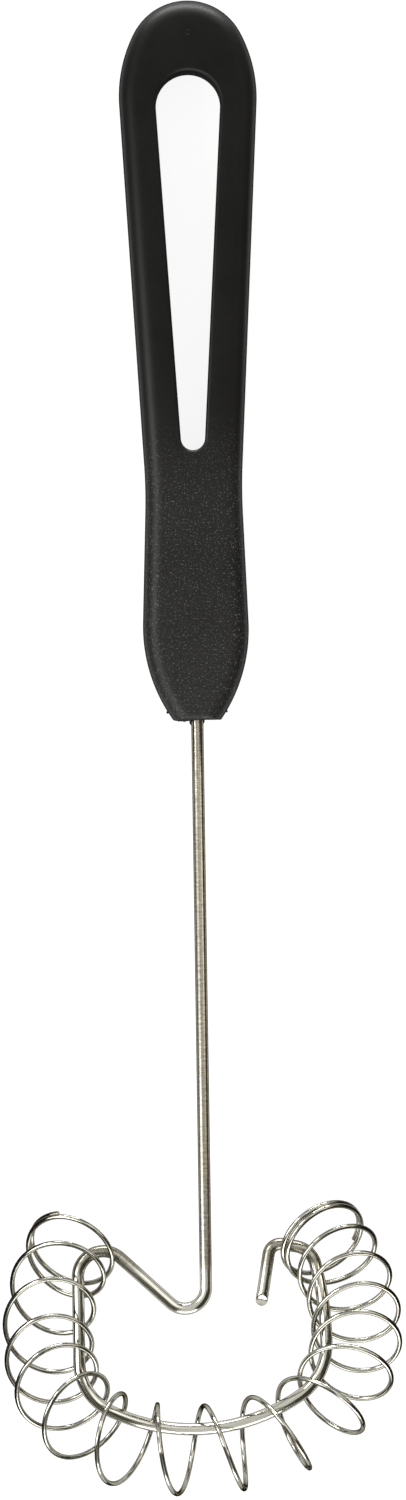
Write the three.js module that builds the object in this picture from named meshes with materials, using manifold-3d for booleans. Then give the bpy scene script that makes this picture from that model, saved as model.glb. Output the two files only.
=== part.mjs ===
// Flat whisk: a slotted handle, one bent frame wire and a loose spring threaded on the wire's hoop.
// Millimetres. The whisk lies on its back: +Y runs along the shaft to the handle, +Z is up.
import * as THREE from 'three';
import { mergeVertices } from 'three/addons/utils/BufferGeometryUtils.js';
import Module from 'manifold-3d';

// Handle outline, measured from its lower end
const HANDLE_LENGTH = 128.3;
const HANDLE_THICKNESS = 9.4;
const HANDLE_EDGE_ROUND = 3.2;
const TOP_RADIUS = 10.7;
const WIDEST_HALF_WIDTH = 12.3;
const WIDEST_BELOW_TOP = 17.2;
const NECK_HALF_WIDTH = 8.65;
const NECK_HEIGHT = 40.4;
const NECK_RADIUS = 95;
const BELLY_HALF_WIDTH = 9.44;
const BELLY_HEIGHT = 16.4;
const BELLY_RADIUS = 28.6;

// Tapered slot through the handle
const SLOT_BELOW_TOP = 12.7;
const SLOT_LENGTH = 67.6;
const SLOT_TOP_RADIUS = 5.75;
const SLOT_LOW_RADIUS = 2.15;
const SLOT_EDGE_BREAK = 0.5;

// Point on the handle's back that is the origin, measured from its lower end
const REST_HEIGHT = 22;

// Frame wire, in the order it is bent: straight lengths, bend radii and turns in degrees
const ROD_DIAMETER = 2.2;
const TANG_LENGTH = 36;
const SHAFT_LENGTH = 101.31;
const U_BEND_RADIUS = 3.76;
const U_BEND_TURN = 132.82;
const ARM_LENGTH = 12.16;
const SHOULDER_RADIUS = 4.52;
const HOOP_SIDE_LENGTH = 15.26;
const LEFT_CORNER_RADIUS = 9.8;
const LEFT_CORNER_TURN = 64;
const HOOP_BOTTOM_RADIUS = 34;
const HOOP_BOTTOM_TURN = 59.6;
const RIGHT_CORNER_RADIUS = 11.1;
const RIGHT_SIDE_RADIUS = 59;
const RIGHT_SIDE_TURN = 14;
const HOOK_SHOULDER_RADIUS = 4.3;
const HOOK_SHOULDER_TURN = 66;
const HOOK_TOP_LENGTH = 2.5;
const HOOK_RADIUS = 2.1;
const HOOK_TURN = 90.6;
const HOOK_LEG_LENGTH = 8.5;
const END_CUT_ANGLE = 45;

// Wings pressed out of the tang, which key it in the handle
const WING_SPAN = 5.4;
const WING_LENGTH = 6;
const WING_THICKNESS = 1;
const WING_HEIGHT = 26;
const SOCKET_CLEARANCE = 0.3;

// How far a cut runs out past the face it starts from
const CUT_OVERRUN = 1;

// Spring: one wire wound in a horseshoe round the hoop
const SPRING_WIRE = 0.9;
const SPRING_RADIUS = 7.76;
const OPEN_TURNS = 15.96;
const CLOSED_TURNS_LEFT = 1.01;
const CLOSED_TURNS_RIGHT = 1.32;
const CLOSED_TURNS_GAP = 0.45;
const SPRING_FIRST_TURN_ANGLE = 43.4;

// Oval that the spring's open turns follow, with the angles it spans and its lower corners filled out
const SPRING_START_ANGLE = 143.6;
const SPRING_END_ANGLE = 394.1;
const SPRING_TILT = 3.73;
const SPRING_LEAN = 62.2;
const SPRING_SIDE_CLEARANCE = 0.73;
const SPRING_BOTTOM_OFFSET = 3.17;
const SPRING_WIDEST_RISE = 16.73;
const SPRING_LEFT_REACH = 28.73;
const SPRING_RIGHT_REACH = 27.36;
const LEFT_CORNER_FULLNESS = 0.044;
const RIGHT_CORNER_FULLNESS = 0.026;

// Pitch of the open turns, relative to an even pitch: less beside the closed turns,
// more at the bottom and on the left
const FIRST_PITCH_LEFT = 0.42;
const FIRST_PITCH_RIGHT = 0.664;
const OPENING_TURNS = 0.6;
const BOTTOM_PITCH_GAIN = 0.693;
const LEFT_PITCH_GAIN = 0.168;

// Fineness of the solids
const ROD_SIDES = 12;
const DEGREES_PER_BEND_STEP = 9;
const SPRING_SIDES = 6;
const SPRING_STEPS = 24;
const GAP_POINTS_PER_TURN = 60;
const HANDLE_ARC_DIVISIONS = 4;
const SLOT_ARC_DIVISIONS = 7;
const HANDLE_ROUND_STEPS = 4;

const wasm = await Module();
wasm.setup();

const radians = THREE.MathUtils.degToRad;
const wireHeight = HANDLE_THICKNESS / 2;

function toSolid(geometry) {
  const bare = new THREE.BufferGeometry();
  bare.setAttribute('position', geometry.getAttribute('position').clone());
  if (geometry.index) {
    bare.setIndex(geometry.index.clone());
  }
  const merged = mergeVertices(bare, 1e-4);
  const triVerts = new Uint32Array(merged.index.array);
  const vertProperties = new Float32Array(merged.getAttribute('position').array);
  return new wasm.Manifold(new wasm.Mesh({ numProp: 3, vertProperties, triVerts }));
}

function toGeometry(solid) {
  const mesh = solid.getMesh();
  const geometry = new THREE.BufferGeometry();
  geometry.setAttribute('position', new THREE.BufferAttribute(mesh.vertProperties, 3));
  geometry.setIndex(new THREE.BufferAttribute(mesh.triVerts, 1));
  geometry.computeVertexNormals();
  return geometry;
}

function roundSection(diameter, sides) {
  const points = [];
  for (let i = 0; i < sides; i += 1) {
    const angle = (i + 0.5) / sides * 2 * Math.PI;
    points.push(new THREE.Vector2(Math.cos(angle), Math.sin(angle)).multiplyScalar(diameter / 2));
  }
  return new THREE.Shape(points);
}

// The outline as one closed run of points, with none repeated where two arcs meet
function facetedOutline(outline, divisions) {
  const points = outline.getPoints(divisions);
  const kept = points.filter((point, i) => point.distanceTo(points.at(i - 1)) > 1e-3);
  return new THREE.Shape(kept);
}

// Direction across a straight line that touches one circle on its right side and the next on its left
function crossingTangent(from, fromRadius, to, toRadius, side) {
  const across = new THREE.Vector2().subVectors(to, from);
  return across.angle() + side * Math.acos((fromRadius + toRadius) / across.length());
}

// Handle: round top, straight taper, slim neck and a swelling that closes in on the rod
function handleOutline() {
  const topCentre = new THREE.Vector2(0, HANDLE_LENGTH - TOP_RADIUS);
  const widest = HANDLE_LENGTH - WIDEST_BELOW_TOP;
  const rise = topCentre.y - widest;
  const bulge = WIDEST_HALF_WIDTH - TOP_RADIUS;
  const sideRadius = (WIDEST_HALF_WIDTH ** 2 + rise ** 2 - TOP_RADIUS ** 2) / (2 * bulge);
  const side = new THREE.Vector2(WIDEST_HALF_WIDTH - sideRadius, widest);
  const neck = new THREE.Vector2(NECK_HALF_WIDTH + NECK_RADIUS, NECK_HEIGHT);
  const belly = new THREE.Vector2(BELLY_HALF_WIDTH - BELLY_RADIUS, BELLY_HEIGHT);
  const taper = crossingTangent(side, sideRadius, neck, NECK_RADIUS, 1);
  const flare = crossingTangent(belly, BELLY_RADIUS, neck, NECK_RADIUS, -1);
  const shoulder = Math.atan2(rise, -side.x);
  const foot = -Math.asin(BELLY_HEIGHT / BELLY_RADIUS);
  const half = Math.PI;
  const outline = new THREE.Shape();
  outline.absarc(belly.x, belly.y, BELLY_RADIUS, foot, flare, false);
  outline.absarc(neck.x, neck.y, NECK_RADIUS, half + flare, half + taper, true);
  outline.absarc(side.x, side.y, sideRadius, taper, shoulder, false);
  outline.absarc(topCentre.x, topCentre.y, TOP_RADIUS, shoulder, half - shoulder, false);
  outline.absarc(-side.x, side.y, sideRadius, half - shoulder, half - taper, false);
  outline.absarc(-neck.x, neck.y, NECK_RADIUS, -taper, -flare, true);
  outline.absarc(-belly.x, belly.y, BELLY_RADIUS, half - flare, half - foot, false);
  return facetedOutline(outline, HANDLE_ARC_DIVISIONS);
}

function slotOutline() {
  const top = HANDLE_LENGTH - SLOT_BELOW_TOP - SLOT_TOP_RADIUS;
  const low = HANDLE_LENGTH - SLOT_BELOW_TOP - SLOT_LENGTH + SLOT_LOW_RADIUS;
  const taper = Math.asin((SLOT_TOP_RADIUS - SLOT_LOW_RADIUS) / (top - low));
  const outline = new THREE.Shape();
  outline.absarc(0, top, SLOT_TOP_RADIUS, -taper, Math.PI + taper, false);
  outline.absarc(0, low, SLOT_LOW_RADIUS, Math.PI + taper, 2 * Math.PI - taper, false);
  return facetedOutline(outline, SLOT_ARC_DIVISIONS);
}

// Cutter for the slot: straight through, opening out where it meets the front and the back
function slotCutter() {
  const outline = slotOutline();
  const lip = {
    depth: HANDLE_EDGE_ROUND,
    bevelThickness: SLOT_EDGE_BREAK,
    bevelSize: SLOT_EDGE_BREAK,
    bevelSegments: 1,
  };
  const through = new THREE.ExtrudeGeometry(outline, {
    depth: HANDLE_THICKNESS + 2 * CUT_OVERRUN,
    bevelEnabled: false,
  });
  through.translate(0, 0, -CUT_OVERRUN);
  const front = new THREE.ExtrudeGeometry(outline, lip);
  front.translate(0, 0, HANDLE_THICKNESS);
  const back = new THREE.ExtrudeGeometry(outline, lip);
  back.translate(0, 0, -HANDLE_EDGE_ROUND);
  return toSolid(through).add(toSolid(front)).add(toSolid(back));
}

function wings(clearance) {
  const box = new THREE.BoxGeometry(
    WING_SPAN + 2 * clearance,
    WING_LENGTH + 2 * clearance,
    WING_THICKNESS + 2 * clearance,
  );
  box.translate(0, WING_HEIGHT, wireHeight);
  return toSolid(box);
}

// Cutter for the socket that holds the tang and its wings
function socketCutter() {
  const depth = TANG_LENGTH + SOCKET_CLEARANCE + CUT_OVERRUN;
  const bore = new THREE.CylinderGeometry(
    ROD_DIAMETER / 2 + SOCKET_CLEARANCE,
    ROD_DIAMETER / 2 + SOCKET_CLEARANCE,
    depth,
    ROD_SIDES,
  );
  bore.translate(0, depth / 2 - CUT_OVERRUN, wireHeight);
  return toSolid(bore).add(wings(SOCKET_CLEARANCE));
}

function handleGeometry() {
  const body = new THREE.ExtrudeGeometry(handleOutline(), {
    depth: HANDLE_THICKNESS - 2 * HANDLE_EDGE_ROUND,
    bevelThickness: HANDLE_EDGE_ROUND,
    bevelSize: HANDLE_EDGE_ROUND,
    bevelOffset: -HANDLE_EDGE_ROUND,
    bevelSegments: HANDLE_ROUND_STEPS,
  });
  body.translate(0, 0, HANDLE_EDGE_ROUND);
  return toGeometry(toSolid(body).subtract(slotCutter()).subtract(socketCutter()));
}

// Flat path of straights and bends, as a wire bender makes it
class BentWire extends THREE.Curve {
  constructor(x, y, heading, height) {
    super();
    this.pieces = [];
    this.end = { x, y, heading };
    this.height = height;
    this.steps = 0;
  }

  straight(length) {
    const piece = { ...this.end, length, turn: 0, first: this.steps, steps: 1 };
    return this.append(piece);
  }

  bend(radius, degrees) {
    const turn = radians(degrees);
    const steps = Math.ceil(Math.abs(degrees) / DEGREES_PER_BEND_STEP);
    const piece = { ...this.end, length: radius * Math.abs(turn), turn, first: this.steps, steps };
    return this.append(piece);
  }

  append(piece) {
    this.pieces.push(piece);
    this.steps += piece.steps;
    this.end = this.along(piece, 1);
    return this;
  }

  along(piece, share) {
    const heading = piece.heading + piece.turn * share;
    const middle = (piece.heading + heading) / 2;
    const half = piece.turn * share / 2;
    const shrink = half === 0 ? 1 : Math.sin(half) / half;
    const chord = piece.length * share * shrink;
    return {
      x: piece.x + chord * Math.cos(middle),
      y: piece.y + chord * Math.sin(middle),
      heading,
    };
  }

  at(t) {
    const step = t * this.steps;
    const piece = this.pieces.find((each) => step <= each.first + each.steps) ?? this.pieces.at(-1);
    return this.along(piece, (step - piece.first) / piece.steps);
  }

  getUtoTmapping(u) {
    return u;
  }

  getPoint(t, target = new THREE.Vector3()) {
    const place = this.at(t);
    return target.set(place.x, place.y, this.height);
  }

  getTangent(t, target = new THREE.Vector3()) {
    const place = this.at(t);
    return target.set(Math.cos(place.heading), Math.sin(place.heading), 0);
  }
}

function framePath() {
  const down = radians(270);
  const cornerTurn = 180 - LEFT_CORNER_TURN - HOOP_BOTTOM_TURN;
  const spare = ROD_DIAMETER;
  return new BentWire(0, TANG_LENGTH, down, wireHeight)
    .straight(TANG_LENGTH + SHAFT_LENGTH)
    .bend(U_BEND_RADIUS, -U_BEND_TURN)
    .straight(ARM_LENGTH)
    .bend(SHOULDER_RADIUS, U_BEND_TURN)
    .straight(HOOP_SIDE_LENGTH)
    .bend(LEFT_CORNER_RADIUS, LEFT_CORNER_TURN)
    .bend(HOOP_BOTTOM_RADIUS, HOOP_BOTTOM_TURN)
    .bend(RIGHT_CORNER_RADIUS, cornerTurn)
    .bend(RIGHT_SIDE_RADIUS, RIGHT_SIDE_TURN)
    .bend(HOOK_SHOULDER_RADIUS, HOOK_SHOULDER_TURN)
    .straight(HOOK_TOP_LENGTH)
    .bend(HOOK_RADIUS, HOOK_TURN)
    .straight(HOOK_LEG_LENGTH + spare);
}

// Cutter for the slanted shear cut at the hook's end, whose face looks up and away from the leg
function endCutter(path) {
  const leg = path.pieces.at(-1);
  const end = path.along(leg, HOOK_LEG_LENGTH / leg.length);
  const along = new THREE.Vector3(Math.cos(end.heading), Math.sin(end.heading), 0);
  const up = new THREE.Vector3(0, 0, 1);
  const normal = along.clone().multiplyScalar(Math.cos(radians(END_CUT_ANGLE)));
  normal.addScaledVector(up, Math.sin(radians(END_CUT_ANGLE)));
  const side = new THREE.Vector3().crossVectors(along, up);
  const slope = new THREE.Vector3().crossVectors(normal, side);
  const size = 4 * ROD_DIAMETER;
  const box = new THREE.BoxGeometry(size, size, size);
  box.translate(0, 0, size / 2);
  box.applyMatrix4(new THREE.Matrix4().makeBasis(side, slope, normal).setPosition(end.x, end.y, wireHeight));
  return toSolid(box);
}

function frameWireGeometry(path) {
  const rod = new THREE.ExtrudeGeometry(roundSection(ROD_DIAMETER, ROD_SIDES), {
    steps: path.steps,
    extrudePath: path,
  });
  return toGeometry(toSolid(rod).subtract(endCutter(path)).add(wings(0)));
}

// Extent of the hoop's centre-line
function hoopBounds(path) {
  const bounds = new THREE.Box3();
  for (const point of path.getSpacedPoints(path.steps)) {
    bounds.expandByPoint(point);
  }
  return bounds;
}

// Spring: its open turns ride outside the hoop on an oval and lean over at the sides.
// The closed turns at both ends are stacked squarely on the last open one, and the lowest lies on the table.
class SpringCurve extends THREE.Curve {
  constructor(hoop) {
    super();
    const sideOffset = SPRING_RADIUS - ROD_DIAMETER / 2 - SPRING_WIRE / 2 - SPRING_SIDE_CLEARANCE;
    this.turns = CLOSED_TURNS_LEFT + OPEN_TURNS + CLOSED_TURNS_RIGHT;
    this.centre = new THREE.Vector2((hoop.min.x + hoop.max.x) / 2, hoop.min.y + SPRING_WIDEST_RISE);
    this.halfWidth = (hoop.max.x - hoop.min.x) / 2 + sideOffset;
    this.drop = SPRING_WIDEST_RISE + SPRING_BOTTOM_OFFSET;
    this.travel = this.sumPitch();
    this.lift = 0;
    const heights = this.getSpacedPoints(Math.round(this.turns * SPRING_STEPS)).map((point) => point.z);
    this.lift = SPRING_WIRE / 2 - Math.min(...heights);
  }

  // Relative pitch of the open turns: small where they leave the closed ones, widest at the oval's bottom
  pitch(share) {
    const turn = share * OPEN_TURNS;
    const bulge = (0.5 - 0.5 * Math.cos(2 * Math.PI * share)) ** 2;
    const body = 1 + BOTTOM_PITCH_GAIN * bulge + LEFT_PITCH_GAIN * (1 - 2 * share);
    const fromLeft = THREE.MathUtils.smoothstep(turn, 0, OPENING_TURNS);
    const fromRight = THREE.MathUtils.smoothstep(OPEN_TURNS - turn, 0, OPENING_TURNS);
    const left = THREE.MathUtils.lerp(FIRST_PITCH_LEFT, 1, fromLeft);
    const right = THREE.MathUtils.lerp(FIRST_PITCH_RIGHT, 1, fromRight);
    return body * left * right;
  }

  sumPitch() {
    const cells = Math.round(OPEN_TURNS * GAP_POINTS_PER_TURN);
    const sums = [0];
    for (let i = 0; i < cells; i += 1) {
      sums.push(sums[i] + this.pitch((i + 0.5) / cells));
    }
    return sums.map((sum) => sum / sums[cells]);
  }

  // Angle on the oval that a share of the open turns has reached
  ovalAngle(share) {
    const cell = share * (this.travel.length - 1);
    const low = Math.min(Math.floor(cell), this.travel.length - 2);
    const travelled = THREE.MathUtils.lerp(this.travel[low], this.travel[low + 1], cell - low);
    return radians(THREE.MathUtils.lerp(SPRING_START_ANGLE, SPRING_END_ANGLE, travelled));
  }

  // Place on the oval and the direction along it
  oval(angle) {
    const [x, y] = [Math.cos(angle), Math.sin(angle)];
    const reach = x < 0 ? SPRING_LEFT_REACH : SPRING_RIGHT_REACH;
    const corner = x < 0 ? LEFT_CORNER_FULLNESS : RIGHT_CORNER_FULLNESS;
    const height = y < 0 ? this.drop : reach;
    const fullness = y < 0 ? corner : 0;
    const grow = 1 + fullness * Math.sin(2 * angle) ** 2;
    const growth = 2 * fullness * Math.sin(4 * angle);
    const middle = new THREE.Vector2(x * grow * this.halfWidth, y * grow * height);
    const along = new THREE.Vector2(x * growth - y * grow, y * growth + x * grow);
    along.multiply(new THREE.Vector2(this.halfWidth, height));
    const origin = new THREE.Vector2();
    middle.rotateAround(origin, radians(SPRING_TILT)).add(this.centre);
    along.rotateAround(origin, radians(SPRING_TILT)).normalize();
    return { middle, along };
  }

  getUtoTmapping(u) {
    return u;
  }

  getPoint(t, target = new THREE.Vector3()) {
    const turn = t * this.turns - CLOSED_TURNS_LEFT;
    const open = THREE.MathUtils.clamp(turn, 0, OPEN_TURNS);
    const { middle, along } = this.oval(this.ovalAngle(open / OPEN_TURNS));
    const lean = Math.sin(radians(SPRING_LEAN)) * along.y;
    const upright = Math.sqrt(1 - lean ** 2);
    const stacked = (turn - open) * (SPRING_WIRE + CLOSED_TURNS_GAP);
    middle.addScaledVector(along, stacked * upright);
    const winding = t * this.turns * 2 * Math.PI + radians(SPRING_FIRST_TURN_ANGLE);
    const outward = SPRING_RADIUS * Math.sin(winding);
    const shift = SPRING_RADIUS * Math.cos(winding) * lean;
    return target.set(
      middle.x + outward * along.y + shift * along.x,
      middle.y - outward * along.x + shift * along.y,
      this.lift + SPRING_RADIUS * upright * (1 + Math.cos(winding)) - stacked * lean,
    );
  }
}

// Least clear distance between stretches of the spring that are at least half a turn apart
function leastGap(curve) {
  const points = curve.getSpacedPoints(Math.round(curve.turns * GAP_POINTS_PER_TURN));
  let least = Infinity;
  for (let i = 0; i < points.length; i += 1) {
    for (let j = i + GAP_POINTS_PER_TURN / 2; j < points.length; j += 1) {
      least = Math.min(least, points[i].distanceToSquared(points[j]));
    }
  }
  return Math.sqrt(least) - SPRING_WIRE;
}

function springGeometry(curve) {
  return new THREE.ExtrudeGeometry(roundSection(SPRING_WIRE, SPRING_SIDES), {
    steps: Math.round(curve.turns * SPRING_STEPS),
    extrudePath: curve,
  });
}

function piece(name, geometry, look) {
  const mesh = new THREE.Mesh(geometry, new THREE.MeshStandardMaterial(look));
  mesh.name = name;
  return mesh;
}

const path = framePath();
const spring = new SpringCurve(hoopBounds(path));
console.log(`spring: least gap to itself ${leastGap(spring).toFixed(2)} mm`);

const whisk = new THREE.Group();
whisk.add(piece('handle', handleGeometry(), { color: 0x21211f, roughness: 0.55, metalness: 0 }));
whisk.add(piece('frame_wire', frameWireGeometry(path), { color: 0xb4afa4, roughness: 0.3, metalness: 1 }));
whisk.add(piece('coil_spring', springGeometry(spring), { color: 0xbab7ae, roughness: 0.25, metalness: 1 }));
whisk.position.y = -REST_HEIGHT;

export default whisk;
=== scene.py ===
"""Flat whisk lying on a white floor: moulded handle, bent frame wire and a loose wound spring. Metres."""
import math

import bpy
import numpy as np
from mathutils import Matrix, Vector, noise
from mathutils.geometry import delaunay_2d_cdt


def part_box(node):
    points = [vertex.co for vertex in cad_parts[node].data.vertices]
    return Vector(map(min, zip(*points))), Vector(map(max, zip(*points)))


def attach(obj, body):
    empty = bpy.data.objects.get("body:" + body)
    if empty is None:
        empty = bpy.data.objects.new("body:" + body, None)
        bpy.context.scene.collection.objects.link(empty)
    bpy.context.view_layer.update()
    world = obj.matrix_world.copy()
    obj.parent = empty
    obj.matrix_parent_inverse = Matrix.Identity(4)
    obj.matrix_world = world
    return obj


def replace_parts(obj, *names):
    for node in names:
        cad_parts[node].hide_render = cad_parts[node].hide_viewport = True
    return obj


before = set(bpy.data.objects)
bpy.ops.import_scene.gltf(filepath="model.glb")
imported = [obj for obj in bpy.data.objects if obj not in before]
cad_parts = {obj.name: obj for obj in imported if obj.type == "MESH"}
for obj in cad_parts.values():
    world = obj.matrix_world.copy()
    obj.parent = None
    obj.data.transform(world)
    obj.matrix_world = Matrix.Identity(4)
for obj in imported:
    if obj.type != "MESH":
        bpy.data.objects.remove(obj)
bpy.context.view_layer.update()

MM = 0.001

# Handle outline, measured from its lower end
HANDLE_LENGTH = 128.3 * MM
HANDLE_THICKNESS = 9.4 * MM
SIDE_ROUND = 3.2 * MM
FOOT_ROUND = 1.5 * MM
TOP_RADIUS = 10.7 * MM
WIDEST_HALF_WIDTH = 12.3 * MM
WIDEST_BELOW_TOP = 17.2 * MM
NECK_HALF_WIDTH = 8.65 * MM
NECK_HEIGHT = 40.4 * MM
NECK_RADIUS = 95 * MM
BELLY_HALF_WIDTH = 9.44 * MM
BELLY_HEIGHT = 16.4 * MM
BELLY_RADIUS = 28.6 * MM

# Tapered slot
SLOT_BELOW_TOP = 12.7 * MM
SLOT_LENGTH = 67.6 * MM
SLOT_TOP_RADIUS = 5.75 * MM
SLOT_LOW_RADIUS = 2.15 * MM
SLOT_ROUND = 0.6 * MM

# Moulding flash at the handle's lower end: a ragged strip, its waves as (places per mm, two offsets, gain)
FLASH_THICKNESS = 0.3 * MM
FLASH_REACH = 0.45 * MM
FLASH_FROM = -4.1 * MM
FLASH_TO = -1.2 * MM
FLASH_TEETH = 36
FLASH_WAVES = ((1.9, 0.7, 3.1, 1.0), (5.3, 4.2, 1.9, 0.6))
FLASH_LEAST = 0.35
FLASH_GAIN = 0.75

# Fins beside the rod as (side, width, height), with the shares of both at the bends of their outline
FINS = ((-1, 0.36 * MM, 1.05 * MM), (1, 0.24 * MM, 0.75 * MM))
FIN_SHAPE = ((0.9, 0.45), (0.35, 0.8))
FIN_ROOT = 0.9
FIN_TIP = 0.95

# Nibs at the corners as (side, height above the foot, size), with their outline along and out of the edge
NIBS = ((-1, 1.3 * MM, 0.42 * MM), (1, 1.4 * MM, 0.34 * MM))
NIB_SHAPE = ((-0.6, -0.5), (-0.55, 0.35), (-0.15, 0.75), (0.25, 0.55), (0.5, 0.8), (0.65, -0.5))

# Ring that a mould pin left on the front
MARK_PLACE = (0.2 * MM, 100.3 * MM)
MARK_RADIUS = 0.42 * MM
MARK_WIRE = 0.08 * MM
MARK_FLATNESS = 0.6

# Frame wire, in the order it is bent; pairs are radius and degrees
ROD_RADIUS = 1.1 * MM
TANG_LENGTH = 36 * MM
SHAFT_LENGTH = 101.31 * MM
U_BEND = (3.76 * MM, 132.82)
ARM_LENGTH = 12.16 * MM
SHOULDER_RADIUS = 4.52 * MM
HOOP_SIDE_LENGTH = 15.26 * MM
LEFT_CORNER = (9.8 * MM, 64)
HOOP_BOTTOM = (34 * MM, 59.6)
RIGHT_CORNER_RADIUS = 11.1 * MM
RIGHT_SIDE = (59 * MM, 14)
HOOK_SHOULDER = (4.3 * MM, 66)
HOOK_TOP_LENGTH = 2.5 * MM
HOOK = (2.1 * MM, 90.6)
HOOK_LEG_LENGTH = 8.5 * MM
END_CUT_ANGLE = 45
WING_SIZE = (5.4 * MM, 6 * MM, 1 * MM)
WING_HEIGHT = 26 * MM

# Spring
SPRING_WIRE = 0.9 * MM
SPRING_RADIUS = 7.76 * MM
OPEN_TURNS = 15.96
CLOSED_TURNS_LEFT = 1.01
CLOSED_TURNS_RIGHT = 1.32
CLOSED_TURNS_GAP = 0.04 * MM
SPRING_FIRST_TURN_ANGLE = 43.4
SPRING_START_ANGLE = 143.6
SPRING_END_ANGLE = 394.1
SPRING_TILT = 3.73
SPRING_LEAN = 62.2
SPRING_SIDE_CLEARANCE = 0.73 * MM
SPRING_BOTTOM_OFFSET = 3.17 * MM
SPRING_WIDEST_RISE = 16.73 * MM
SPRING_LEFT_REACH = 28.73 * MM
SPRING_RIGHT_REACH = 27.36 * MM
LEFT_CORNER_FULLNESS = 0.044
RIGHT_CORNER_FULLNESS = 0.026
FIRST_PITCH_LEFT = 0.42
FIRST_PITCH_RIGHT = 0.664
OPENING_TURNS = 0.6
BOTTOM_PITCH_GAIN = 0.693
LEFT_PITCH_GAIN = 0.168

# Wire ends, as shares of the wire's radius: radius of the end face, length of its rounded edge and of its map
END_FACE = 0.86
END_ROUND = 0.12
END_MAP = 0.2

# Fineness
ARC_STEP = 0.45 * MM
ROUND_STEPS = 8
EDGE_CLEARANCE = 0.03 * MM
POINT_CELL = 0.08 * MM
CDT_EPSILON = 1e-6
MARK_STEPS = (28, 8)
ROD_SIDES = 28
BEND_STEP = 3
STRAIGHT_STEP = 2 * MM
WING_CORNER_STEP = 30
SPRING_SIDES = 14
SPRING_STEPS = 72
PITCH_CELLS = 4000
SHARP_ANGLE = 40
FLASH_SHARP_ANGLE = 30

# Plastic: colours from dark to light, the grip's lighter ones a painted sheen, noises as (scale per metre,
# detail, roughness), and the height over which the grip's texture and painted sheen fade out
PLASTIC_SMOOTH = ((0.0035, 0.0035, 0.003), (0.006, 0.006, 0.0053))
# Grip colours: a painted sheen, lighter than the plastic round the slot
PLASTIC_GRIP_SHEEN = ((0.0045, 0.0045, 0.004), (0.0085, 0.0085, 0.0076))
PLASTIC_SPECK = (0.06, 0.06, 0.056)
GRIP_FADE = (16 * MM, 36 * MM)
GRAIN_NOISE = (2600, 3.0, 0.65)
FLECK_NOISE = (3400, 1.0, 0.5)
CLOUD_NOISE = (60, 3.0, 0.55)
NOISE_SPREAD = (0.3, 0.7)
FLECK_SPREAD = (0.6, 0.74)
PLASTIC_ROUGHNESS = (0.38, 0.5)
GRIP_ROUGHNESS = 0.02
PLASTIC_GLOSS = 0.21
GRIP_BUMP = (0.5, 0.07 * MM)
GRAIN_BUMP = (0.25, 0.03 * MM)

# Where a surface counts as edge-on, and what fine texture adds to roughness and takes off gloss there
EDGE_ON = (0.5, 0.85)
EDGE_ROUGHNESS = 0.5
EDGE_GLOSS_LOSS = 0.19

# Steels; the shaft's colour is painted darker than the bends' as painted shade, from one height to the other
ROD_STEEL = {"bright": (0.62, 0.61, 0.545), "deep": (0.43, 0.42, 0.355), "roughness": 0.13}
SPRING_STEEL = {"bright": (0.47, 0.461, 0.405), "deep": (0.26, 0.254, 0.212), "roughness": 0.11}
# Shaft colours: painted shade, darker than the same wire at the bends
SHAFT_SHADE_STEEL = {"bright": (0.37, 0.353, 0.295), "deep": (0.17, 0.158, 0.125), "roughness": 0.09,
               "low": -0.1212, "high": -0.1185}
# Near-black edge tint: painted dark reflections on the wires' rims
STEEL_RIM_SHADE_TINT = (0.05, 0.045, 0.03, 1)
STEEL_ROUGHNESS_SPREAD = (0.8, 1.25)
STREAK_MAP = (5.0, 0.12, 1.0)
STREAK_NOISE = (1.0, 4.0, 0.6)
STREAK_SPREAD = (0.3, 0.65)
STREAK_BUMP = (0.1, 0.02 * MM)
SCRATCH_MAP = (0.8, 2.4, 1.0)
SCRATCH_NOISE = (1.0, 4.0, 0.65)
SCRATCH_BUMP = (0.08, 0.02 * MM)

# Floor and sky
FLOOR_HALF = 3.0
FLOOR_DROP = 0.1 * MM
FLOOR_SHADE = (0.16, 0.16, 0.16)
FLOOR_GLOW = 0.87
SKY_COLOUR = (1, 0.995, 0.98)
SKY_STRENGTH = 0.95

# Lamps: name, place, aim, size, power, colour
WHITE = (1, 1, 1)
WARM = (1.0, 0.86, 0.7)
LAMPS = (
    ("top_strip", (0.0, 0.5, 0.07), (0, 0.1, 0), (0.5, 0.12), 4.5, WHITE),
    ("bottom_strip", (-0.05, -0.85, 0.2), (0, -0.05, 0), (0.8, 0.35), 4.5, WHITE),
    ("grip_box", (-0.2, 0.02, 0.19), (0, 0.02, 0), (0.07, 0.07), 0.3, WHITE),
    ("foot_box", (-0.16, -0.165, 0.16), (0, -0.02, 0), (0.15, 0.15), 0.36, WHITE),
    ("left_box", (-0.26, -0.14, 0.3), (0, -0.135, 0), (0.26, 0.3), 0.25, WHITE),
    ("upper_box", (0.12, -0.05, 0.26), (0, -0.135, 0), (0.2, 0.2), 0.13, WHITE),
    ("right_strip", (0.56, -0.06, 0.53), (0, -0.06, 0), (0.13, 0.3), 0.42, WARM),
)

# Dark cards that only reflections see
OLIVE = (0.1, 0.096, 0.07)
DARK = (0.02, 0.018, 0.014)
BLACK = (0.01, 0.01, 0.01)
CARD_STEPS = 24
CARD_ROWS = 7
# Bent round the whisk: name, azimuths and elevations in degrees, shade, radius, middle along Y
CURVED_CARDS = (
    ("card_right", (-70, 20), (0.3, 76), OLIVE, 1.0, -0.08),
    ("card_low_left", (200, 250), (0.3, 84), OLIVE, 0.13, -0.135),
)
# Lying above it: name, low corner, high corner, height, shade
FLAT_CARDS = (
    ("card_over_handle", (-0.03, 0.0), (0.095, 0.17), 0.1, BLACK),
    ("card_over_left", (-0.13, 0.035), (-0.03, 0.17), 0.1, BLACK),
)
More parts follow.
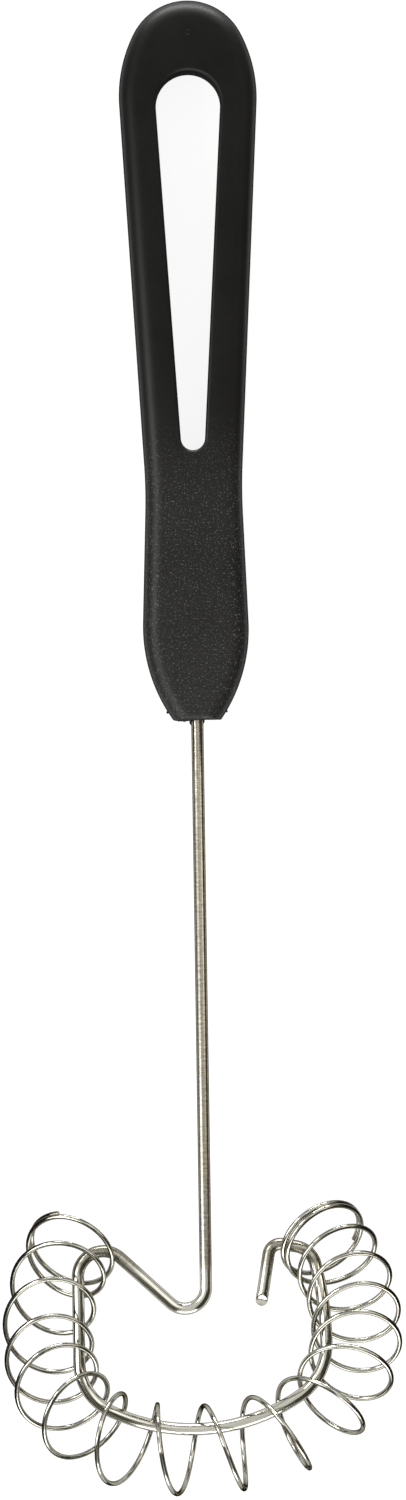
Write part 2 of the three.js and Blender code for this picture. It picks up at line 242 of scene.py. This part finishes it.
# Standing beside it: name, start, end, height, shade
WALL_CARDS = (
    ("card_right_side", (0.039, -0.175), (0.039, 0.13), 0.013, DARK),
    ("card_left_side", (-0.039, -0.175), (-0.039, 0.13), 0.014, DARK),
    ("card_bottom_side", (-0.039, -0.166), (0.039, -0.166), 0.006, DARK),
    ("card_handle_right", (0.034, -0.03), (0.034, 0.125), 0.06, DARK),
    ("card_handle_left", (-0.034, -0.03), (-0.034, 0.125), 0.027, DARK),
)

# Camera
CAMERA_HEIGHT = 1100 * MM
CAMERA_AIM = (0.94 * MM, -27.37 * MM)
CAMERA_ROLL = -0.88
VIEW_LENGTH = 267.86 * MM
SENSOR_WIDTH = 36
CLIP = (0.01, 20)

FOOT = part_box("handle")[0].y
MIDDLE = HANDLE_THICKNESS / 2


def mesh_object(name, verts, faces, body, material, sharp=None):
    mesh = bpy.data.meshes.new(name)
    mesh.from_pydata([tuple(v) for v in verts], [], faces)
    mesh.validate()
    mesh.shade_smooth()
    if sharp is not None:
        mesh.set_sharp_from_angle(angle=math.radians(sharp))
    mesh.materials.append(material)
    obj = bpy.data.objects.new(name, mesh)
    bpy.context.scene.collection.objects.link(obj)
    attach(obj, body)
    return obj


# Materials


class Nodes:
    """Small helper to build one material's node tree."""

    def __init__(self, name):
        self.material = bpy.data.materials.new(name)
        self.material.use_nodes = True
        self.tree = self.material.node_tree
        self.shader = self.tree.nodes["Principled BSDF"]

    def add(self, kind, inputs=None, **settings):
        node = self.tree.nodes.new(kind)
        for key, value in settings.items():
            setattr(node, key, value)
        for key, value in (inputs or {}).items():
            if hasattr(value, "is_output"):
                self.tree.links.new(value, node.inputs[key])
            else:
                node.inputs[key].default_value = value
        return node

    def noise(self, vector, scale, detail, roughness):
        made = self.add("ShaderNodeTexNoise", {
            "Vector": vector, "Scale": scale, "Detail": detail, "Roughness": roughness})
        return made.outputs["Fac"]

    def scaled(self, vector, scale):
        return self.add("ShaderNodeMapping", {"Vector": vector, "Scale": scale}).outputs["Vector"]

    def object_place(self):
        return self.add("ShaderNodeTexCoord").outputs["Object"]

    def height_along(self, place):
        return self.add("ShaderNodeSeparateXYZ", {"Vector": place}).outputs["Y"]

    def ramp(self, fac, stops):
        node = self.add("ShaderNodeValToRGB", {"Fac": fac})
        for element, (place, colour) in zip(node.color_ramp.elements, stops):
            element.position = place
            element.color = (*colour, 1)
        return node.outputs["Color"]

    def span(self, value, low, high, to_low, to_high, smooth=False):
        node = self.add("ShaderNodeMapRange", {
            "Value": value, "From Min": low, "From Max": high, "To Min": to_low, "To Max": to_high})
        if smooth:
            node.interpolation_type = "SMOOTHSTEP"
        return node.outputs["Result"]

    def mix(self, factor, first, second):
        node = self.add("ShaderNodeMix", data_type="RGBA")
        self.tree.links.new(factor, node.inputs["Factor"])
        for key, value in ((6, first), (7, second)):
            if hasattr(value, "is_output"):
                self.tree.links.new(value, node.inputs[key])
            else:
                node.inputs[key].default_value = (*value, 1)
        return node.outputs[2]

    def maths(self, operation, first, second):
        node = self.add("ShaderNodeMath", {0: first, 1: second}, operation=operation)
        return node.outputs[0]

    def bump(self, height, strength, distance, normal=None):
        node = self.add("ShaderNodeBump", {"Height": height, "Strength": strength, "Distance": distance})
        if normal is not None:
            self.tree.links.new(normal, node.inputs["Normal"])
        return node.outputs["Normal"]

    def edge_on(self, gain):
        """Grows to a gain where the surface turns edge-on: fine texture is rougher and duller there."""
        facing = self.add("ShaderNodeLayerWeight", {"Blend": 0.5}).outputs["Facing"]
        return self.span(facing, *EDGE_ON, 0.0, gain, True)

    def link(self, socket, value):
        self.tree.links.new(value, self.shader.inputs[socket])

    def set(self, **values):
        for key, value in values.items():
            self.shader.inputs[key.replace("_", " ")].default_value = value


def handle_plastic():
    """Near-black moulded plastic: smooth and darker round the slot, a fine speckled texture on the grip,
    whose lighter colour is a painted sheen.
    """
    n = Nodes("handle_plastic")
    place = n.object_place()
    grip = n.span(n.height_along(place), *GRIP_FADE, 1.0, 0.0, True)
    grain = n.noise(place, *GRAIN_NOISE)
    fleck = n.noise(place, *FLECK_NOISE)
    cloud = n.noise(place, *CLOUD_NOISE)
    smooth = n.ramp(cloud, zip(NOISE_SPREAD, PLASTIC_SMOOTH))
    # Grip colour: painted sheen, lighter than round the slot, varied by a cloud noise
    painted_shading = n.ramp(cloud, zip(NOISE_SPREAD, PLASTIC_GRIP_SHEEN))
    specks = n.mix(n.span(fleck, *FLECK_SPREAD, 0, 1), painted_shading, PLASTIC_SPECK)
    n.link("Base Color", n.mix(grip, smooth, specks))
    satin = n.span(grain, *NOISE_SPREAD, *PLASTIC_ROUGHNESS)
    satin = n.maths("ADD", satin, n.maths("MULTIPLY", grip, GRIP_ROUGHNESS))
    n.link("Roughness", n.maths("ADD", satin, n.edge_on(EDGE_ROUGHNESS)))
    fine = n.bump(n.maths("MULTIPLY", grain, grip), *GRIP_BUMP)
    n.link("Normal", n.bump(grain, *GRAIN_BUMP, fine))
    n.link("Specular IOR Level", n.maths("SUBTRACT", PLASTIC_GLOSS, n.edge_on(EDGE_GLOSS_LOSS)))
    return n.material


def drawn_steel(name, steel, shaft=None):
    """Drawn wire: fine streaks along it, faint scratches across it; given a shaft, the shaft's colour is
    painted darker as painted shade.
    """
    n = Nodes(name)
    wire = n.add("ShaderNodeUVMap", uv_map="wire").outputs["UV"]
    streak = n.noise(n.scaled(wire, STREAK_MAP), *STREAK_NOISE)
    scratch = n.noise(n.scaled(wire, SCRATCH_MAP), *SCRATCH_NOISE)
    colour = n.ramp(streak, zip(STREAK_SPREAD, (steel["deep"], steel["bright"])))
    low, high = (steel["roughness"] * share for share in STEEL_ROUGHNESS_SPREAD)
    rough = n.span(streak, *NOISE_SPREAD, low, high)
    # Painted shade: above the bend the shaft gets a darker colour than the bends, varied by the scratches
    if shaft:
        shaft_shade = n.span(n.height_along(n.object_place()), shaft["low"], shaft["high"], 0.0, 1.0, True)
        painted_shading = n.ramp(scratch, zip(NOISE_SPREAD, (shaft["deep"], shaft["bright"])))
        colour = n.mix(shaft_shade, colour, painted_shading)
        rough = n.maths("ADD", rough, n.maths("MULTIPLY", shaft_shade, shaft["roughness"]))
    n.link("Base Color", colour)
    n.link("Roughness", rough)
    n.link("Normal", n.bump(scratch, *SCRATCH_BUMP, n.bump(streak, *STREAK_BUMP)))
    # The edge tint paints the wire rims dark, a painted reflection
    n.set(Metallic=1.0, Specular_Tint=STEEL_RIM_SHADE_TINT)
    return n.material


# Handle


def arc_points(centre, radius, start, end):
    count = max(2, math.ceil(abs(end - start) * radius / ARC_STEP))
    angles = np.linspace(start, end, count + 1)
    return np.array(centre) + radius * np.stack([np.cos(angles), np.sin(angles)], 1), angles


def crossing_tangent(first, first_radius, second, second_radius, side):
    across = np.subtract(second, first)
    lean = math.acos((first_radius + second_radius) / np.hypot(*across))
    return math.atan2(across[1], across[0]) + side * lean


def handle_side():
    """Right side of the outline from the foot to the top's middle, with outward normals; y from the foot."""
    top = (0, HANDLE_LENGTH - TOP_RADIUS)
    widest = HANDLE_LENGTH - WIDEST_BELOW_TOP
    rise = top[1] - widest
    radius = (WIDEST_HALF_WIDTH ** 2 + rise ** 2 - TOP_RADIUS ** 2) / (2 * (WIDEST_HALF_WIDTH - TOP_RADIUS))
    side = (WIDEST_HALF_WIDTH - radius, widest)
    neck = (NECK_HALF_WIDTH + NECK_RADIUS, NECK_HEIGHT)
    belly = (BELLY_HALF_WIDTH - BELLY_RADIUS, BELLY_HEIGHT)
    taper = crossing_tangent(side, radius, neck, NECK_RADIUS, 1)
    flare = crossing_tangent(belly, BELLY_RADIUS, neck, NECK_RADIUS, -1)
    shoulder = math.atan2(rise, -side[0])
    foot = -math.asin(BELLY_HEIGHT / BELLY_RADIUS)
    runs = [
        (belly, BELLY_RADIUS, foot, flare, 1),
        (neck, NECK_RADIUS, math.pi + flare, math.pi + taper, -1),
        (side, radius, taper, shoulder, 1),
        (top, TOP_RADIUS, shoulder, math.pi / 2, 1),
    ]
    points, normals = [], []
    for centre, size, start, end, sign in runs:
        made, angles = arc_points(centre, size, start, end)
        facing = sign * np.stack([np.cos(angles), np.sin(angles)], 1)
        if points:
            gap = made[0] - points[-1]
            steps = int(np.hypot(*gap) / ARC_STEP)
            for i in range(1, steps):
                points.append(points[-1] + gap / steps)
                normals.append(facing[0])
            if np.hypot(*gap) < ARC_STEP / 2:
                made, facing = made[1:], facing[1:]
        points.extend(made)
        normals.extend(facing)
    return np.array(points), np.array(normals)


def mirrored(points, normals):
    flip = np.array([-1, 1])
    return np.concatenate([points, points[-2::-1] * flip]), np.concatenate([normals, normals[-2::-1] * flip])


def slot_loop():
    """Outline of the slot with normals out of the opening; y from the foot."""
    top = HANDLE_LENGTH - SLOT_BELOW_TOP - SLOT_TOP_RADIUS
    low = HANDLE_LENGTH - SLOT_BELOW_TOP - SLOT_LENGTH + SLOT_LOW_RADIUS
    taper = math.asin((SLOT_TOP_RADIUS - SLOT_LOW_RADIUS) / (top - low))
    upper, upper_angles = arc_points((0, top), SLOT_TOP_RADIUS, -taper, math.pi + taper)
    lower, lower_angles = arc_points((0, low), SLOT_LOW_RADIUS, math.pi + taper, 2 * math.pi - taper)
    share = np.linspace(0, 1, int((top - low) / (2 * ARC_STEP)))[1:-1, None]
    left = upper[-1] + share * (lower[0] - upper[-1])
    right = lower[-1] + share * (upper[0] - lower[-1])
    angles = np.concatenate([
        upper_angles, np.full(len(left), upper_angles[-1]),
        lower_angles, np.full(len(right), lower_angles[-1]),
    ])
    return np.concatenate([upper, left, lower, right]), np.stack([np.cos(angles), np.sin(angles)], 1)


def distance(points, line, closed):
    """Distance from each point to a run of straight stretches."""
    ends = np.roll(line, -1, 0) if closed else line[1:]
    starts = line if closed else line[:-1]
    best = np.full(len(points), np.inf)
    for a, b in zip(starts, ends):
        run = b - a
        share = np.clip((points - a) @ run / (run @ run), 0, 1)
        best = np.minimum(best, np.hypot(*(points - a - share[:, None] * run).T))
    return best


def inside(points, loop):
    x, y = points.T
    result = np.zeros(len(points), bool)
    for (ax, ay), (bx, by) in zip(loop, np.roll(loop, -1, 0)):
        if ay != by:
            crosses = (ay > y) != (by > y)
            result ^= crosses & (x < (bx - ax) * (y - ay) / (by - ay) + ax)
    return result


def round_drop(depth, radius):
    """How far a quarter-round edge lies below its face, at a depth in from the edge."""
    rest = np.clip(radius - depth, 0, radius)
    return radius - np.sqrt(radius ** 2 - rest ** 2)


def edge_rows(side, side_normals, foot, slot, slot_normals):
    """Rows of points along the rounded edges, closer together where an edge is steep."""
    insets = 1 - np.cos(np.linspace(0, math.pi / 2, ROUND_STEPS + 1)[1:])
    count = 2 * len(foot)
    foot_row = np.linspace(foot[0, 0], foot[-1, 0], count)
    rows = [side - side_normals * (inset * SIDE_ROUND) for inset in insets]
    rows += [np.stack([foot_row, np.full(count, inset * FOOT_ROUND)], 1) for inset in insets]
    rows += [slot + slot_normals * (inset * SLOT_ROUND) for inset in insets[1::2]]
    return np.concatenate(rows)


def thinned(points):
    """Keeps the first point in each small cell."""
    cells = {}
    for point in points:
        cells.setdefault(tuple(np.floor(point / POINT_CELL).astype(int)), point)
    return np.array(list(cells.values()))


def handle_body(material):
    side, side_normals = mirrored(*handle_side())
    gap = side[0] - side[-1]
    steps = math.ceil(np.hypot(*gap) / ARC_STEP)
    foot = side[-1] + np.arange(1, steps)[:, None] / steps * gap
    outline = np.concatenate([side, foot])
    slot, slot_normals = slot_loop()
    extra = edge_rows(side, side_normals, foot, slot, slot_normals)
    extra = extra[inside(extra, outline)]
    nearest = np.minimum.reduce([distance(extra, side, False), distance(extra, slot, True), extra[:, 1]])
    flat = np.concatenate([outline, slot, thinned(extra[nearest > EDGE_CLEARANCE])])
    around = len(outline)
    edges = [(i, (i + 1) % around) for i in range(around)]
    edges += [(around + i, around + (i + 1) % len(slot)) for i in range(len(slot))]
    made = delaunay_2d_cdt([Vector(p / MM) for p in flat], edges, [], 0, CDT_EPSILON)
    points = np.array([v[:] for v in made[0]]) * MM
    triangles = np.array(made[2])
    centres = points[triangles].mean(1)
    triangles = triangles[inside(centres, outline) & ~inside(centres, slot)].tolist()
    drop = np.maximum.reduce([
        round_drop(distance(points, side, False), SIDE_ROUND),
        round_drop(points[:, 1], FOOT_ROUND),
        round_drop(distance(points, slot, True), SLOT_ROUND),
    ])
    count = len(points)
    front = np.column_stack([points[:, 0], points[:, 1] + FOOT, HANDLE_THICKNESS - drop])
    back = np.column_stack([points[:, 0], points[:, 1] + FOOT, drop])
    faces = [tuple(t) for t in triangles]
    faces += [tuple(i + count for i in reversed(t)) for t in triangles]
    used = {}
    for a, b, c in triangles:
        used.update({(a, b): True, (b, c): True, (c, a): True})
    faces += [(b, a, a + count, b + count) for a, b in used if (b, a) not in used]
    verts = np.concatenate([front, back])
    obj = mesh_object("handle_body", verts, faces, "frame", material, SHARP_ANGLE)
    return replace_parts(obj, "handle")


def slab(outline, low, high, verts, faces):
    """Adds a flat closed piece with the given outline to a mesh's lists."""
    first, count = len(verts), len(outline)
    area = sum(a[0] * b[1] - b[0] * a[1] for a, b in zip(outline, outline[1:] + outline[:1]))
    outline = outline if area > 0 else outline[::-1]
    verts += [(x, y, z) for z in (low, high) for x, y in outline]
    faces += [tuple(range(first + count - 1, first - 1, -1)), tuple(range(first + count, first + 2 * count))]
    for i in range(count):
        j = (i + 1) % count
        faces.append((first + i, first + j, first + count + j, first + count + i))


def handle_flash(material):
    """Thin ragged plastic squeezed out along the parting line: at the foot, the rod and the corners."""
    verts, faces = [], []
    low, high = MIDDLE - FLASH_THICKNESS / 2, MIDDLE + FLASH_THICKNESS / 2
    root = FOOT + FLASH_REACH
    xs = np.linspace(FLASH_FROM, FLASH_TO, FLASH_TEETH)
    ragged = [sum(gain * noise.noise(Vector((x / MM * scale, y, z))) for scale, y, z, gain in FLASH_WAVES)
              for x in xs]
    ends = np.sin(np.linspace(0, math.pi, FLASH_TEETH)) ** 0.5
    reach = [FLASH_REACH * end * (FLASH_LEAST + FLASH_GAIN * abs(r)) for end, r in zip(ends, ragged)]
    lower = [(x, FOOT - r) for x, r in zip(xs, reach)]
    slab(lower + [(xs[-1], root), (xs[0], root)], low, high, verts, faces)
    for side, wide, tall in FINS:
        fin = [(ROD_RADIUS * FIN_ROOT, root), (ROD_RADIUS + wide, root)]
        fin += [(ROD_RADIUS + out * wide, FOOT - down * tall) for out, down in FIN_SHAPE]
        fin.append((ROD_RADIUS * FIN_TIP, FOOT - tall))
        slab([(side * x, y) for x, y in fin], low, high, verts, faces)
    side_points, side_normals = handle_side()
    for side, rise, size in NIBS:
        near = int(np.argmin(np.abs(side_points[:, 1] - rise)))
        out = np.array([side * side_normals[near, 0], side_normals[near, 1]])
        base = np.array([side * side_points[near, 0], FOOT + side_points[near, 1]])
        along = np.array([-out[1], out[0]])
        slab([tuple(base + size * (a * along + o * out)) for a, o in NIB_SHAPE], low, high, verts, faces)
    return mesh_object("handle_flash", verts, faces, "frame", material, FLASH_SHARP_ANGLE)


def mould_mark(material):
    """Faint ring that a mould pin left on the front, near the top."""
    verts, faces = [], []
    around, across = MARK_STEPS
    for i in range(around):
        angle = 2 * math.pi * i / around
        for j in range(across):
            turn = 2 * math.pi * j / across
            radius = MARK_RADIUS + MARK_WIRE * math.cos(turn)
            verts.append((MARK_PLACE[0] + radius * math.cos(angle), MARK_PLACE[1] + radius * math.sin(angle),
                          HANDLE_THICKNESS + MARK_WIRE * MARK_FLATNESS * math.sin(turn)))
            k, m = (i + 1) % around, (j + 1) % across
            faces.append((i * across + j, k * across + j, k * across + m, i * across + m))
    return mesh_object("mould_mark", verts, faces, "frame", material)


# Wires


def tube(name, points, radius, sides, body, material, end_shift=None):
    """Round wire along points with rounded flat ends, and a 'wire' map in millimetres round and along it."""
    points = np.asarray(points)
    tangents = np.gradient(points, axis=0)
    tangents /= np.linalg.norm(tangents, axis=1)[:, None]
    normal = np.cross(tangents[0], (0, 0, 1))
    angles = 2 * math.pi * np.arange(sides) / sides
    rings, lengths = [], []
    length = 0.0
    for i, (point, tangent) in enumerate(zip(points, tangents)):
        normal = normal - tangent * (normal @ tangent)
        normal /= np.linalg.norm(normal)
        across = np.cross(tangent, normal)
        circle = np.cos(angles)[:, None] * normal + np.sin(angles)[:, None] * across
        if i == 0:
            rings.append(point + END_FACE * radius * circle)
            rings.append(point + radius * circle + END_ROUND * radius * tangent)
            lengths += [length, length]
        else:
            length += np.linalg.norm(point - points[i - 1])
            rings.append(point + radius * circle)
            lengths.append(length)
    last = rings.pop()
    lengths.pop()
    if end_shift is not None:
        last = last + end_shift(last)[:, None] * tangents[-1]
    rings += [last - END_ROUND * radius * tangents[-1], points[-1] + (last - points[-1]) * END_FACE]
    lengths += [length, length + END_MAP * radius]
    faces, uvs = [], []
    round_mm = 2 * math.pi * radius / MM
    for r in range(len(rings) - 1):
        for i in range(sides):
            j = (i + 1) % sides
            faces.append((r * sides + i, r * sides + j, (r + 1) * sides + j, (r + 1) * sides + i))
            u0, u1 = i / sides * round_mm, (i + 1) / sides * round_mm
            v0, v1 = lengths[r] / MM, lengths[r + 1] / MM
            uvs.append(((u0, v0), (u1, v0), (u1, v1), (u0, v1)))
    first = tuple(reversed(range(sides)))
    end = tuple(range((len(rings) - 1) * sides, len(rings) * sides))
    for cap in (first, end):
        faces.append(cap)
        uvs.append(tuple((math.cos(a) * radius / MM, math.sin(a) * radius / MM) for a in angles))
    obj = mesh_object(name, np.concatenate(rings), faces, body, material, SHARP_ANGLE)
    layer = obj.data.uv_layers.new(name="wire")
    layer.data.foreach_set("uv", [c for face in uvs for uv in face for c in uv])
    return obj


def bent_path():
    """Centre-line of the frame wire, straights and bends from the tang's top to the hook's end."""
    corner = 180 - LEFT_CORNER[1] - HOOP_BOTTOM[1]
    moves = [
        (TANG_LENGTH + SHAFT_LENGTH, 0),
        (U_BEND[0], -U_BEND[1]),
        (ARM_LENGTH, 0),
        (SHOULDER_RADIUS, U_BEND[1]),
        (HOOP_SIDE_LENGTH, 0),
        LEFT_CORNER,
        HOOP_BOTTOM,
        (RIGHT_CORNER_RADIUS, corner),
        RIGHT_SIDE,
        HOOK_SHOULDER,
        (HOOK_TOP_LENGTH, 0),
        HOOK,
        (HOOK_LEG_LENGTH, 0),
    ]
    x, y, heading = 0.0, FOOT + TANG_LENGTH, math.radians(270)
    points = [(x, y)]
    for size, degrees in moves:
        turn = math.radians(degrees)
        steps = math.ceil(abs(degrees) / BEND_STEP) if degrees else math.ceil(size / STRAIGHT_STEP)
        step_turn = turn / steps
        chord = 2 * size * math.sin(abs(step_turn) / 2) if degrees else size / steps
        for _ in range(steps):
            x += chord * math.cos(heading + step_turn / 2)
            y += chord * math.sin(heading + step_turn / 2)
            heading += step_turn
            points.append((x, y))
    return np.array(points)


def frame_rod(path, material):
    slope = math.tan(math.radians(END_CUT_ANGLE))
    points = np.column_stack([path, np.full(len(path), MIDDLE)])
    obj = tube("frame_rod", points, ROD_RADIUS, ROD_SIDES, "frame", material,
               lambda ring: (MIDDLE - ring[:, 2]) * slope)
    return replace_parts(obj, "frame_wire")


def tang_wings(material):
    """Two flat wings pressed out of the tang inside the handle, with rounded outer corners."""
    span, length, thick = (s / 2 for s in WING_SIZE)
    corner = thick
    y = FOOT + WING_HEIGHT
    outline = []
    for cx, cy, start in ((1, 1, 0), (-1, 1, 90), (-1, -1, 180), (1, -1, 270)):
        for angle in np.radians(range(start, start + 91, WING_CORNER_STEP)):
            outline.append((cx * (span - corner) + corner * math.cos(angle),
                            y + cy * (length - corner) + corner * math.sin(angle)))
    verts, faces = [], []
    slab(outline, MIDDLE - thick, MIDDLE + thick, verts, faces)
    return mesh_object("tang_wings", verts, faces, "frame", material, SHARP_ANGLE)


def smoothstep(value, low, high):
    share = np.clip((value - low) / (high - low), 0, 1)
    return share * share * (3 - 2 * share)


def oval_angles(share):
    """Angle on the oval that each share of the open turns has reached: the running sum of their pitch."""
    cells = (np.arange(PITCH_CELLS) + 0.5) / PITCH_CELLS
    turn = cells * OPEN_TURNS
    bulge = (0.5 - 0.5 * np.cos(2 * math.pi * cells)) ** 2
    body = 1 + BOTTOM_PITCH_GAIN * bulge + LEFT_PITCH_GAIN * (1 - 2 * cells)
    left = FIRST_PITCH_LEFT + (1 - FIRST_PITCH_LEFT) * smoothstep(turn, 0, OPENING_TURNS)
    right = FIRST_PITCH_RIGHT + (1 - FIRST_PITCH_RIGHT) * smoothstep(OPEN_TURNS - turn, 0, OPENING_TURNS)
    travel = np.concatenate([[0], np.cumsum(body * left * right)])
    reached = np.interp(share, np.linspace(0, 1, len(travel)), travel / travel[-1])
    return np.radians(SPRING_START_ANGLE + reached * (SPRING_END_ANGLE - SPRING_START_ANGLE))


def spring_points(path):
    """Centre-line of the spring: open turns on an oval round the hoop, closed turns stacked at the ends."""
    hoop_low, hoop_high = path.min(0), path.max(0)
    centre = np.array([(hoop_low[0] + hoop_high[0]) / 2, hoop_low[1] + SPRING_WIDEST_RISE])
    half_width = (hoop_high[0] - hoop_low[0]) / 2
    half_width += SPRING_RADIUS - ROD_RADIUS - SPRING_WIRE / 2 - SPRING_SIDE_CLEARANCE
    turns = CLOSED_TURNS_LEFT + OPEN_TURNS + CLOSED_TURNS_RIGHT
    count = np.linspace(0, turns, round(turns * SPRING_STEPS) + 1)
    turn = count - CLOSED_TURNS_LEFT
    opened = np.clip(turn, 0, OPEN_TURNS)
    angle = oval_angles(opened / OPEN_TURNS)
    x, y = np.cos(angle), np.sin(angle)
    reach = np.where(y < 0, SPRING_WIDEST_RISE + SPRING_BOTTOM_OFFSET,
                     np.where(x < 0, SPRING_LEFT_REACH, SPRING_RIGHT_REACH))
    fullness = np.where(y < 0, np.where(x < 0, LEFT_CORNER_FULLNESS, RIGHT_CORNER_FULLNESS), 0)
    grow = 1 + fullness * np.sin(2 * angle) ** 2
    growth = 2 * fullness * np.sin(4 * angle)
    middle = np.stack([x * grow * half_width, y * grow * reach], 1)
    along = np.stack([(x * growth - y * grow) * half_width, (y * growth + x * grow) * reach], 1)
    along /= np.linalg.norm(along, axis=1)[:, None]
    tilt = math.radians(SPRING_TILT)
    turned = np.array([[math.cos(tilt), math.sin(tilt)], [-math.sin(tilt), math.cos(tilt)]])
    middle = middle @ turned + centre
    along = along @ turned
    lean = math.sin(math.radians(SPRING_LEAN)) * along[:, 1]
    upright = np.sqrt(1 - lean ** 2)
    stacked = (turn - opened) * (SPRING_WIRE + CLOSED_TURNS_GAP)
    middle += (stacked * upright)[:, None] * along
    winding = count * 2 * math.pi + math.radians(SPRING_FIRST_TURN_ANGLE)
    outward = SPRING_RADIUS * np.sin(winding)
    shift = SPRING_RADIUS * np.cos(winding) * lean
    height = SPRING_RADIUS * upright * (1 + np.cos(winding)) - stacked * lean
    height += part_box("coil_spring")[1].z - SPRING_WIRE / 2 - height.max()
    return np.stack([
        middle[:, 0] + outward * along[:, 1] + shift * along[:, 0],
        middle[:, 1] - outward * along[:, 0] + shift * along[:, 1],
        height,
    ], 1)


def spring_wire(path, material):
    points = spring_points(path)
    obj = tube("spring_wire", points, SPRING_WIRE / 2, SPRING_SIDES, "spring", material)
    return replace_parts(obj, "coil_spring")


# Floor, light and camera


def floor():
    """White floor that glows for the camera and in reflections, and takes a soft shadow."""
    half, low = FLOOR_HALF, -FLOOR_DROP
    corners = [(-half, -half, low), (half, -half, low), (half, half, low), (-half, half, low)]
    mesh = bpy.data.meshes.new("floor")
    mesh.from_pydata(corners, [], [(0, 1, 2, 3)])
    material = bpy.data.materials.new("floor_white")
    material.use_nodes = True
    nodes, links = material.node_tree.nodes, material.node_tree.links
    nodes.clear()
    path = nodes.new("ShaderNodeLightPath")
    seen = path.outputs["Is Camera Ray"]
    for ray in ("Is Glossy Ray", "Is Transmission Ray"):
        either = nodes.new("ShaderNodeMath")
        either.operation = "MAXIMUM"
        links.new(seen, either.inputs[0])
        links.new(path.outputs[ray], either.inputs[1])
        seen = either.outputs[0]
    level = nodes.new("ShaderNodeMath")
    level.operation = "MULTIPLY"
    level.inputs[1].default_value = FLOOR_GLOW
    links.new(seen, level.inputs[0])
    glow = nodes.new("ShaderNodeEmission")
    links.new(level.outputs[0], glow.inputs["Strength"])
    diffuse = nodes.new("ShaderNodeBsdfDiffuse")
    diffuse.inputs["Color"].default_value = (*FLOOR_SHADE, 1)
    both = nodes.new("ShaderNodeAddShader")
    links.new(diffuse.outputs[0], both.inputs[0])
    links.new(glow.outputs[0], both.inputs[1])
    out = nodes.new("ShaderNodeOutputMaterial")
    links.new(both.outputs[0], out.inputs["Surface"])
    mesh.materials.append(material)
    obj = bpy.data.objects.new("floor", mesh)
    bpy.context.scene.collection.objects.link(obj)


def card(name, verts, faces, shade):
    """Dark studio card that only reflections see."""
    mesh = bpy.data.meshes.new(name)
    mesh.from_pydata(verts, [], faces)
    material = bpy.data.materials.new(name)
    material.use_nodes = True
    shader = material.node_tree.nodes["Principled BSDF"]
    shader.inputs["Base Color"].default_value = (*shade, 1)
    shader.inputs["Roughness"].default_value = 1.0
    shader.inputs["Specular IOR Level"].default_value = 0.0
    mesh.materials.append(material)
    obj = bpy.data.objects.new(name, mesh)
    obj.visible_camera = False
    obj.visible_diffuse = False
    obj.visible_shadow = False
    bpy.context.scene.collection.objects.link(obj)


def curved_card(name, azimuths, elevations, shade, radius, centre):
    rows = CARD_ROWS
    verts = []
    for i in range(CARD_STEPS + 1):
        azimuth = math.radians(azimuths[0] + (azimuths[1] - azimuths[0]) * i / CARD_STEPS)
        for elevation in np.radians(np.linspace(*elevations, rows)):
            verts.append((radius * math.cos(elevation) * math.cos(azimuth),
                          centre + radius * math.cos(elevation) * math.sin(azimuth),
                          radius * math.sin(elevation)))
    faces = [(i * rows + j, (i + 1) * rows + j, (i + 1) * rows + j + 1, i * rows + j + 1)
             for i in range(CARD_STEPS) for j in range(rows - 1)]
    card(name, verts, faces, shade)


def flat_card(name, low, high, height, shade):
    corners = (low, (high[0], low[1]), high, (low[0], high[1]))
    card(name, [(*corner, height) for corner in corners], [(0, 1, 2, 3)], shade)


def wall_card(name, start, end, height, shade):
    card(name, [(*start, 0), (*end, 0), (*end, height), (*start, height)], [(0, 1, 2, 3)], shade)


def lamp(name, centre, aim, size, power, colour):
    data = bpy.data.lights.new(name, "AREA")
    data.shape = "RECTANGLE"
    data.size, data.size_y = size
    data.energy = power
    data.color = colour
    obj = bpy.data.objects.new(name, data)
    obj.location = centre
    obj.rotation_euler = (Vector(aim) - Vector(centre)).to_track_quat("-Z", "Y").to_euler()
    bpy.context.scene.collection.objects.link(obj)


def sky():
    made = bpy.data.worlds.new("studio")
    made.use_nodes = True
    shader = made.node_tree.nodes["Background"]
    shader.inputs["Color"].default_value = (*SKY_COLOUR, 1)
    shader.inputs["Strength"].default_value = SKY_STRENGTH
    bpy.context.scene.world = made


def camera():
    data = bpy.data.cameras.new("camera")
    data.sensor_width = SENSOR_WIDTH
    data.lens = SENSOR_WIDTH * CAMERA_HEIGHT / VIEW_LENGTH
    data.clip_start, data.clip_end = CLIP
    obj = bpy.data.objects.new("camera", data)
    obj.location = (*CAMERA_AIM, MIDDLE + CAMERA_HEIGHT)
    obj.rotation_euler = (0, 0, math.radians(CAMERA_ROLL))
    bpy.context.scene.collection.objects.link(obj)
    bpy.context.scene.camera = obj


plastic = handle_plastic()
rod_steel = drawn_steel("rod_steel", ROD_STEEL, SHAFT_SHADE_STEEL)
spring_steel = drawn_steel("spring_steel", SPRING_STEEL)

rod_path = bent_path()
handle_body(plastic)
handle_flash(plastic)
mould_mark(plastic)
frame_rod(rod_path, rod_steel)
tang_wings(rod_steel)
spring_wire(rod_path, spring_steel)

floor()
sky()
for row in LAMPS:
    lamp(*row)
for row in CURVED_CARDS:
    curved_card(*row)
for row in FLAT_CARDS:
    flat_card(*row)
for row in WALL_CARDS:
    wall_card(*row)
camera()
bpy.context.scene.view_settings.view_transform = "Standard"
